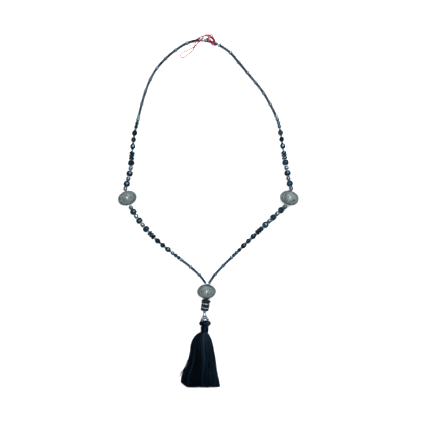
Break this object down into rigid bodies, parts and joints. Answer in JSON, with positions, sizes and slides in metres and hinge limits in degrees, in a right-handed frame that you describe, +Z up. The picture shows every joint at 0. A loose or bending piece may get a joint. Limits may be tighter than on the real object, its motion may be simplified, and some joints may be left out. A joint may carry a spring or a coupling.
{
  "type": "misbaha prayer beads",
  "caption": "Loop of small dark and silver beads on a string, with two ornate side beads, a guru bead, a disc pendant, a silk tassel and a red thread tied at the top.",
  "frame": {"origin": "on the table, under the centre of the bounding box of the beads and tassel, without the red thread", "axes": "+Y from the tassel to the top of the loop, +Z up from the table that the beads lie on, +X to the right seen from above"},
  "size_m": [0.1904, 0.3735, 0.016],
  "materials": {
    "seed_glass": "metallic teal-navy lustre on opaque glass seeds, with pale silvered spacer discs between the runs",
    "dark_glass": "near-black navy faceted glass with a metallic lustre, polished",
    "bright_silver": "cast silver-tone metal, worn bright on the high places, dark in the recesses",
    "antique_silver": "antiqued silver-tone metal with granulated and twisted-wire relief, tarnished in the recesses",
    "black_glass": "glossy black",
    "silk": "navy-black silky threads with a blue-teal sheen",
    "cord": "thin dark waxed string",
    "red_thread": "matt crimson twisted cotton thread"
  },
  "bodies": {
    "guru": {"guru_bead": "antique_silver", "guru_string": "cord"},
    "left_lower_strand": {"left_lower_string": "cord", "left_lower_seed_runs": "seed_glass", "left_lower_round_beads": "dark_glass", "left_lower_bicones": "dark_glass", "left_lower_rondelles": "dark_glass"},
    "right_lower_strand": {"right_lower_string": "cord", "right_lower_seed_runs": "seed_glass", "right_lower_round_beads": "dark_glass", "right_lower_bicones": "dark_glass", "right_lower_rondelles": "dark_glass"},
    "left_upper_strand": {"left_upper_string": "cord", "left_upper_seed_runs": "seed_glass", "left_upper_round_beads": "dark_glass", "left_upper_bicones": "dark_glass", "left_upper_rondelles": "dark_glass", "closure_bead": "bright_silver", "top_seed_run": "seed_glass", "red_thread": "red_thread"},
    "right_upper_strand": {"right_upper_string": "cord", "right_upper_seed_runs": "seed_glass", "right_upper_round_beads": "dark_glass", "right_upper_bicones": "dark_glass", "right_upper_rondelles": "dark_glass"},
    "pendant": {"pendant_string": "cord"},
    "tassel": {"tassel_silk": "silk", "tassel_neck_wrap": "silk"},
    "left_medallion_bead": {"left_medallion_bead": "antique_silver"},
    "right_medallion_bead": {"right_medallion_bead": "antique_silver"},
    "cone_cap": {"cone_cap": "bright_silver"},
    "black_disc_1": {"black_disc_1": "black_glass"},
    "black_disc_2": {"black_disc_2": "black_glass"},
    "black_disc_3": {"black_disc_3": "black_glass"},
    "silver_ring_1": {"silver_ring_1": "bright_silver"},
    "silver_ring_2": {"silver_ring_2": "bright_silver"},
    "left_lower_dark_bead_1": {"left_lower_dark_bead_1": "dark_glass"},
    "left_lower_silver_bead_1": {"left_lower_silver_bead_1": "bright_silver"},
    "left_lower_dark_bead_2": {"left_lower_dark_bead_2": "dark_glass"},
    "left_lower_silver_bead_2": {"left_lower_silver_bead_2": "bright_silver"},
    "left_lower_dark_bead_3": {"left_lower_dark_bead_3": "dark_glass"},
    "left_lower_silver_bead_3": {"left_lower_silver_bead_3": "bright_silver"},
    "right_lower_dark_bead_1": {"right_lower_dark_bead_1": "dark_glass"},
    "right_lower_silver_bead_1": {"right_lower_silver_bead_1": "bright_silver"},
    "right_lower_dark_bead_2": {"right_lower_dark_bead_2": "dark_glass"},
    "right_lower_silver_bead_2": {"right_lower_silver_bead_2": "bright_silver"},
    "right_lower_dark_bead_3": {"right_lower_dark_bead_3": "dark_glass"},
    "right_lower_silver_bead_3": {"right_lower_silver_bead_3": "bright_silver"},
    "left_upper_dark_bead_1": {"left_upper_dark_bead_1": "dark_glass"},
    "left_upper_silver_bead_1": {"left_upper_silver_bead_1": "bright_silver"},
    "left_upper_dark_bead_2": {"left_upper_dark_bead_2": "dark_glass"},
    "left_upper_silver_bead_2": {"left_upper_silver_bead_2": "bright_silver"},
    "left_upper_dark_bead_3": {"left_upper_dark_bead_3": "dark_glass"},
    "left_upper_silver_bead_3": {"left_upper_silver_bead_3": "bright_silver"},
    "right_upper_dark_bead_1": {"right_upper_dark_bead_1": "dark_glass"},
    "right_upper_silver_bead_1": {"right_upper_silver_bead_1": "bright_silver"},
    "right_upper_dark_bead_2": {"right_upper_dark_bead_2": "dark_glass"},
    "right_upper_silver_bead_2": {"right_upper_silver_bead_2": "bright_silver"},
    "right_upper_dark_bead_3": {"right_upper_dark_bead_3": "dark_glass"},
    "right_upper_silver_bead_3": {"right_upper_silver_bead_3": "bright_silver"}
  },
  "joints": [
    {"name": "left_lower_fold", "type": "hinge", "parent": "guru", "child": "left_lower_strand", "pos_m": [-0.0024, -0.0746, 0.008], "axis": [0, 0, -1], "range_deg": [0, 18]},
    {"name": "right_lower_fold", "type": "hinge", "parent": "guru", "child": "right_lower_strand", "pos_m": [0.0005, -0.0746, 0.008], "axis": [0, 0, 1], "range_deg": [0, 18]},
    {"name": "left_upper_fold", "type": "hinge", "parent": "left_lower_strand", "child": "left_upper_strand", "pos_m": [-0.083, 0.0082, 0.008], "axis": [0, 0, 1], "range_deg": [0, 26.5]},
    {"name": "right_upper_fold", "type": "hinge", "parent": "right_lower_strand", "child": "right_upper_strand", "pos_m": [0.0831, 0.0084, 0.008], "axis": [0, 0, -1], "range_deg": [0, 29]},
    {"name": "pendant_swing", "type": "hinge", "parent": "guru", "child": "pendant", "pos_m": [-0.0021, -0.0914, 0.0075], "axis": [0, 0, 1], "range_deg": [-11, 11]},
    {"name": "tassel_swing", "type": "hinge", "parent": "pendant", "child": "tassel", "pos_m": [-0.004, -0.1034, 0.0051], "axis": [0, 0, 1], "range_deg": [-16, 16]},
    {"name": "left_medallion_bead_spin", "type": "hinge", "parent": "left_upper_strand", "child": "left_medallion_bead", "pos_m": [-0.08537, 0.01562, 0.008], "axis": [-0.3099, 0.9508, 0.0019], "continuous": true},
    {"name": "right_medallion_bead_spin", "type": "hinge", "parent": "right_upper_strand", "child": "right_medallion_bead", "pos_m": [0.08554, 0.01583, 0.008], "axis": [0.3002, 0.9539, -0.0013], "continuous": true},
    {"name": "cone_cap_spin", "type": "hinge", "parent": "tassel", "child": "cone_cap", "pos_m": [-0.00399, -0.1037, 0.00511], "axis": [0.0199, -0.9989, 0.042], "continuous": true},
    {"name": "black_disc_1_spin", "type": "hinge", "parent": "pendant", "child": "black_disc_1", "pos_m": [-0.00237, -0.09318, 0.00713], "axis": [-0.1492, -0.9679, -0.2024], "continuous": true},
    {"name": "black_disc_2_spin", "type": "hinge", "parent": "pendant", "child": "black_disc_2", "pos_m": [-0.00306, -0.09755, 0.00623], "axis": [-0.154, -0.9691, -0.1926], "continuous": true},
    {"name": "black_disc_3_spin", "type": "hinge", "parent": "pendant", "child": "black_disc_3", "pos_m": [-0.00376, -0.10193, 0.00538], "axis": [-0.1573, -0.9699, -0.1858], "continuous": true},
    {"name": "silver_ring_1_spin", "type": "hinge", "parent": "pendant", "child": "silver_ring_1", "pos_m": [-0.00271, -0.09536, 0.00667], "axis": [-0.1504, -0.9682, -0.2001], "continuous": true},
    {"name": "silver_ring_2_spin", "type": "hinge", "parent": "pendant", "child": "silver_ring_2", "pos_m": [-0.00341, -0.09974, 0.0058], "axis": [-0.1568, -0.9698, -0.1868], "continuous": true},
    {"name": "left_lower_dark_bead_1_spin", "type": "hinge", "parent": "left_lower_strand", "child": "left_lower_dark_bead_1", "pos_m": [-0.06576, -0.01699, 0.00336], "axis": [-0.6501, 0.7597, 0.0168], "continuous": true},
    {"name": "left_lower_silver_bead_1_spin", "type": "hinge", "parent": "left_lower_strand", "child": "left_lower_silver_bead_1", "pos_m": [-0.0694, -0.01264, 0.00346], "axis": [-0.6329, 0.774, 0.0164], "continuous": true},
    {"name": "left_lower_dark_bead_2_spin", "type": "hinge", "parent": "left_lower_strand", "child": "left_lower_dark_bead_2", "pos_m": [-0.07291, -0.0082, 0.00351], "axis": [-0.607, 0.7946, 0.0115], "continuous": true},
    {"name": "left_lower_silver_bead_2_spin", "type": "hinge", "parent": "left_lower_strand", "child": "left_lower_silver_bead_2", "pos_m": [-0.07623, -0.00361, 0.00372], "axis": [-0.5521, 0.8306, 0.0722], "continuous": true},
    {"name": "left_lower_dark_bead_3_spin", "type": "hinge", "parent": "left_lower_strand", "child": "left_lower_dark_bead_3", "pos_m": [-0.07909, 0.00123, 0.00438], "axis": [-0.4815, 0.8409, 0.247], "continuous": true},
    {"name": "left_lower_silver_bead_3_spin", "type": "hinge", "parent": "left_lower_strand", "child": "left_lower_silver_bead_3", "pos_m": [-0.08164, 0.00569, 0.00674], "axis": [-0.4402, 0.7895, 0.4278], "continuous": true},
    {"name": "right_lower_dark_bead_1_spin", "type": "hinge", "parent": "right_lower_strand", "child": "right_lower_dark_bead_1", "pos_m": [0.06042, -0.01255, 0.00336], "axis": [0.7331, 0.6798, 0.0183], "continuous": true},
    {"name": "right_lower_silver_bead_1_spin", "type": "hinge", "parent": "right_lower_strand", "child": "right_lower_silver_bead_1", "pos_m": [0.06458, -0.00865, 0.00347], "axis": [0.7262, 0.6874, 0.0141], "continuous": true},
    {"name": "right_lower_dark_bead_2_spin", "type": "hinge", "parent": "right_lower_strand", "child": "right_lower_dark_bead_2", "pos_m": [0.06871, -0.00472, 0.00352], "axis": [0.7224, 0.6914, 0.0128], "continuous": true},
    {"name": "right_lower_silver_bead_2_spin", "type": "hinge", "parent": "right_lower_strand", "child": "right_lower_silver_bead_2", "pos_m": [0.07283, -0.0008, 0.00376], "axis": [0.726, 0.6833, 0.0783], "continuous": true},
    {"name": "right_lower_dark_bead_3_spin", "type": "hinge", "parent": "right_lower_strand", "child": "right_lower_dark_bead_3", "pos_m": [0.07695, 0.00302, 0.00464], "axis": [0.7094, 0.6376, 0.3003], "continuous": true},
    {"name": "right_lower_silver_bead_3_spin", "type": "hinge", "parent": "right_lower_strand", "child": "right_lower_silver_bead_3", "pos_m": [0.0809, 0.00648, 0.00685], "axis": [0.6986, 0.611, 0.3723], "continuous": true},
    {"name": "left_upper_dark_bead_1_spin", "type": "hinge", "parent": "left_upper_strand", "child": "left_upper_dark_bead_1", "pos_m": [-0.08617, 0.03067, 0.00445], "axis": [0.2599, 0.9234, -0.2826], "continuous": true},
    {"name": "left_upper_silver_bead_1_spin", "type": "hinge", "parent": "left_upper_strand", "child": "left_upper_silver_bead_1", "pos_m": [-0.08747, 0.02565, 0.00679], "axis": [0.1355, 0.904, -0.4054], "continuous": true},
    {"name": "left_upper_dark_bead_2_spin", "type": "hinge", "parent": "left_upper_strand", "child": "left_upper_dark_bead_2", "pos_m": [-0.08319, 0.04159, 0.0034], "axis": [0.2313, 0.9729, 0.0075], "continuous": true},
    {"name": "left_upper_silver_bead_2_spin", "type": "hinge", "parent": "left_upper_strand", "child": "left_upper_silver_bead_2", "pos_m": [-0.0846, 0.03606, 0.0035], "axis": [0.2656, 0.9617, -0.0672], "continuous": true},
    {"name": "left_upper_dark_bead_3_spin", "type": "hinge", "parent": "left_upper_strand", "child": "left_upper_dark_bead_3", "pos_m": [-0.08157, 0.05287, 0.00338], "axis": [0.0853, 0.9962, -0.0162], "continuous": true},
    {"name": "left_upper_silver_bead_3_spin", "type": "hinge", "parent": "left_upper_strand", "child": "left_upper_silver_bead_3", "pos_m": [-0.08213, 0.04719, 0.00345], "axis": [0.1268, 0.9919, -0.0064], "continuous": true},
    {"name": "right_upper_dark_bead_1_spin", "type": "hinge", "parent": "right_upper_strand", "child": "right_upper_dark_bead_1", "pos_m": [0.08614, 0.03103, 0.00453], "axis": [-0.2364, 0.9309, -0.2783], "continuous": true},
    {"name": "right_upper_silver_bead_1_spin", "type": "hinge", "parent": "right_upper_strand", "child": "right_upper_silver_bead_1", "pos_m": [0.08745, 0.02593, 0.00676], "axis": [-0.1571, 0.9071, -0.3906], "continuous": true},
    {"name": "right_upper_dark_bead_2_spin", "type": "hinge", "parent": "right_upper_strand", "child": "right_upper_dark_bead_2", "pos_m": [0.08389, 0.04216, 0.0034], "axis": [-0.1934, 0.9811, -0.0034], "continuous": true},
    {"name": "right_upper_silver_bead_2_spin", "type": "hinge", "parent": "right_upper_strand", "child": "right_upper_silver_bead_2", "pos_m": [0.0848, 0.03651, 0.00355], "axis": [-0.1815, 0.9795, -0.0876], "continuous": true},
    {"name": "right_upper_dark_bead_3_spin", "type": "hinge", "parent": "right_upper_strand", "child": "right_upper_dark_bead_3", "pos_m": [0.08165, 0.05339, 0.00339], "axis": [-0.1787, 0.9838, -0.014], "continuous": true},
    {"name": "right_upper_silver_bead_3_spin", "type": "hinge", "parent": "right_upper_strand", "child": "right_upper_silver_bead_3", "pos_m": [0.08271, 0.04776, 0.00345], "axis": [-0.1912, 0.9815, -0.0036], "continuous": true}
  ],
  "couplings": [
    {"joint": "right_lower_fold", "follows": "left_lower_fold", "ratio": 1},
    {"joint": "left_upper_fold", "follows": "left_lower_fold", "ratio": 1.4676},
    {"joint": "right_upper_fold", "follows": "left_lower_fold", "ratio": 1.6004}
  ]
}
